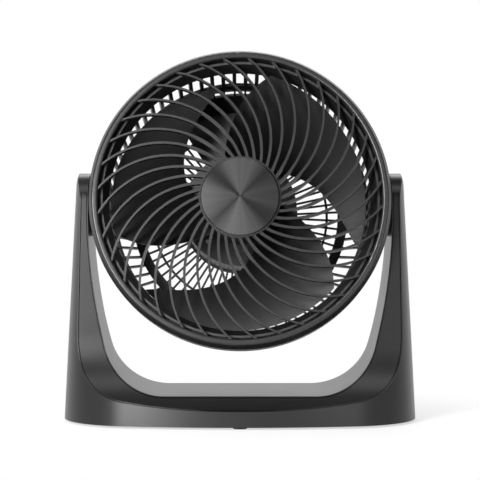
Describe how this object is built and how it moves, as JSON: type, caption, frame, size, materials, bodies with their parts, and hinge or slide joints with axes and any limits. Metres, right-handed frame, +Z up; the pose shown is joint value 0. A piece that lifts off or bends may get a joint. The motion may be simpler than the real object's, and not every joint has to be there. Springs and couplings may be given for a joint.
{
  "type": "personal fan",
  "caption": "Small desk fan with a round tilting head, curved front vanes and three broad blades, held between the arms of a wide U-shaped stand.",
  "frame": {"origin": "on the table plane under the tilt axis, at the middle of the stand", "axes": "+Z up, +Y to the rear, +X to the right seen from the front; the fan blows towards -Y"},
  "size_m": [0.291, 0.15, 0.3037],
  "materials": {
    "stand_plastic": "fine satin grain",
    "cover_plastic": "satin",
    "head_plastic": "satin",
    "grille_plastic": "satin",
    "blade_plastic": "soft gloss",
    "badge_metal": "dark radial brushing",
    "knob_plastic": "satin",
    "bush_plastic": "plain moulded",
    "foot_rubber": "matt",
    "steel": "bright zinc",
    "bracket_aluminium": "as cast",
    "lamination_steel": "stacked sheet",
    "copper": "enamelled wire"
  },
  "bodies": {
    "stand": {"yoke_shell": "stand_plastic", "yoke_front_cover": "cover_plastic", "base_plate": "stand_plastic", "rubber_feet": "foot_rubber", "base_screws": "steel", "pivot_bush_left": "bush_plastic", "pivot_bush_right": "bush_plastic"},
    "head": {"rear_housing": "head_plastic", "front_grille": "grille_plastic", "hub_badge": "badge_metal", "pivot_disc_left": "head_plastic", "pivot_disc_right": "head_plastic", "pivot_pin_left": "steel", "pivot_pin_right": "steel", "motor_front_bracket": "bracket_aluminium", "motor_rear_bracket": "bracket_aluminium", "stator_core": "lamination_steel", "stator_coils": "copper", "front_bearing": "steel", "rear_bearing": "steel", "motor_screws": "steel", "motor_cover": "head_plastic", "motor_cover_screws": "steel", "speed_switch": "bush_plastic", "switch_nut": "steel", "cord_gland": "foot_rubber"},
    "rotor": {"impeller": "blade_plastic", "impeller_nut": "blade_plastic", "motor_shaft": "steel", "rotor_core": "lamination_steel"},
    "knob": {"speed_knob": "knob_plastic", "switch_spindle": "bush_plastic"}
  },
  "joints": [
    {"name": "head_tilt", "type": "hinge", "parent": "stand", "child": "head", "pos_m": [0, 0, 0.1773], "axis": [-1, 0, 0], "range_deg": [-18, 82]},
    {"name": "impeller_spin", "type": "hinge", "parent": "head", "child": "rotor", "pos_m": [0, 0, 0.1773], "axis": [0, 0.9903, -0.1392], "continuous": true},
    {"name": "speed_knob_turn", "type": "hinge", "parent": "head", "child": "knob", "pos_m": [0, 0.06833, 0.1677], "axis": [0, -0.9903, 0.1392], "range_deg": [0, 135]}
  ]
}
